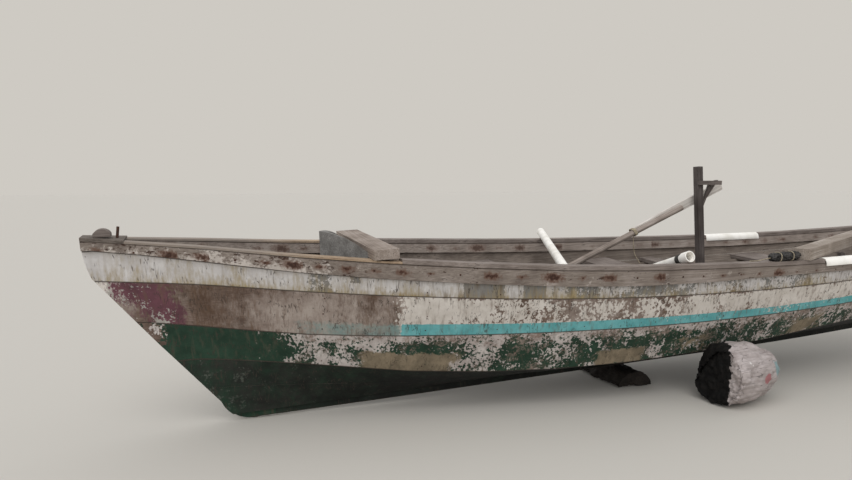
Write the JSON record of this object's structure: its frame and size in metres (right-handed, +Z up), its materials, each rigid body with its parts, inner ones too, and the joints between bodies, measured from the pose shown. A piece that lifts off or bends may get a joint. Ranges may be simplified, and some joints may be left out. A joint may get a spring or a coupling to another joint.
{
  "type": "wooden rowing boat",
  "caption": "Weathered plank-built beach rowing boat with a V bottom, standing heeled on two logs, with post, oar, pipe fittings and loose gear aboard.",
  "frame": {"origin": "bottom centre of the whole, on the ground under the boat's middle", "axes": "+X aft along the boat, +Y to starboard, +Z up"},
  "size_m": [7.1648, 1.6978, 1.5816],
  "materials": {
    "top_strake_paint": "flaking white paint",
    "cream_paint": "flaking cream and turquoise paint",
    "green_paint": "flaking green paint",
    "bottom_paint": "dull dark green paint",
    "grey_wood": "bare weathered wood",
    "brown_wood": "bare brown wood",
    "band_metal": "galvanised, dull",
    "iron": "rusty",
    "pipe_plastic": "weathered off-white pipe",
    "pad_rubber": "worn dark rubber",
    "cord": "weathered cord",
    "bleached_log": "bleached, one end charred",
    "dark_log": "dark, damp"
  },
  "bodies": {
    "root": {"stem": "grey_wood", "keel": "bottom_paint", "keel_band": "band_metal", "strake_top_port": "top_strake_paint", "strake_middle_port": "cream_paint", "strake_lower_port": "green_paint", "bilge_plank_port": "bottom_paint", "garboard_port": "bottom_paint", "strake_top_starboard": "top_strake_paint", "strake_middle_starboard": "cream_paint", "strake_lower_starboard": "green_paint", "bilge_plank_starboard": "bottom_paint", "garboard_starboard": "bottom_paint", "transom": "grey_wood", "transom_knee": "grey_wood", "rub_rail_port": "grey_wood", "inwale_port": "grey_wood", "cap_fore_port": "grey_wood", "cap_mid_port": "grey_wood", "cap_stern_port": "grey_wood", "rub_rail_starboard": "grey_wood", "inwale_starboard": "grey_wood", "cap_fore_starboard": "grey_wood", "cap_mid_starboard": "grey_wood", "cap_stern_starboard": "grey_wood", "bow_block": "grey_wood", "floor_timbers": "grey_wood", "ribs_port": "grey_wood", "ribs_starboard": "grey_wood", "bottom_boards": "grey_wood", "riser_port": "grey_wood", "riser_starboard": "grey_wood", "thwart_fore": "grey_wood", "thwart_mid": "grey_wood", "post_thwart": "grey_wood", "thwart_aft": "grey_wood", "bow_beam": "brown_wood", "spray_board_port": "grey_wood", "spray_board_starboard": "grey_wood", "snub_block": "grey_wood", "bow_pin": "iron", "post": "grey_wood", "post_step": "grey_wood", "post_arm": "grey_wood", "post_braces": "grey_wood", "sleeve_port": "pipe_plastic", "sleeve_starboard": "pipe_plastic", "holder_coupling": "pipe_plastic", "holder_pipe": "pipe_plastic", "holder_lashing": "cord", "leaning_pipe": "pipe_plastic", "oar_shaft": "grey_wood", "oar_blade": "grey_wood", "oar_lashing": "cord", "oar_pad": "pad_rubber", "oar_cord": "cord", "pad_cord": "cord", "stern_plank": "brown_wood", "dark_log": "dark_log", "white_log": "bleached_log"}
  },
  "joints": []
}
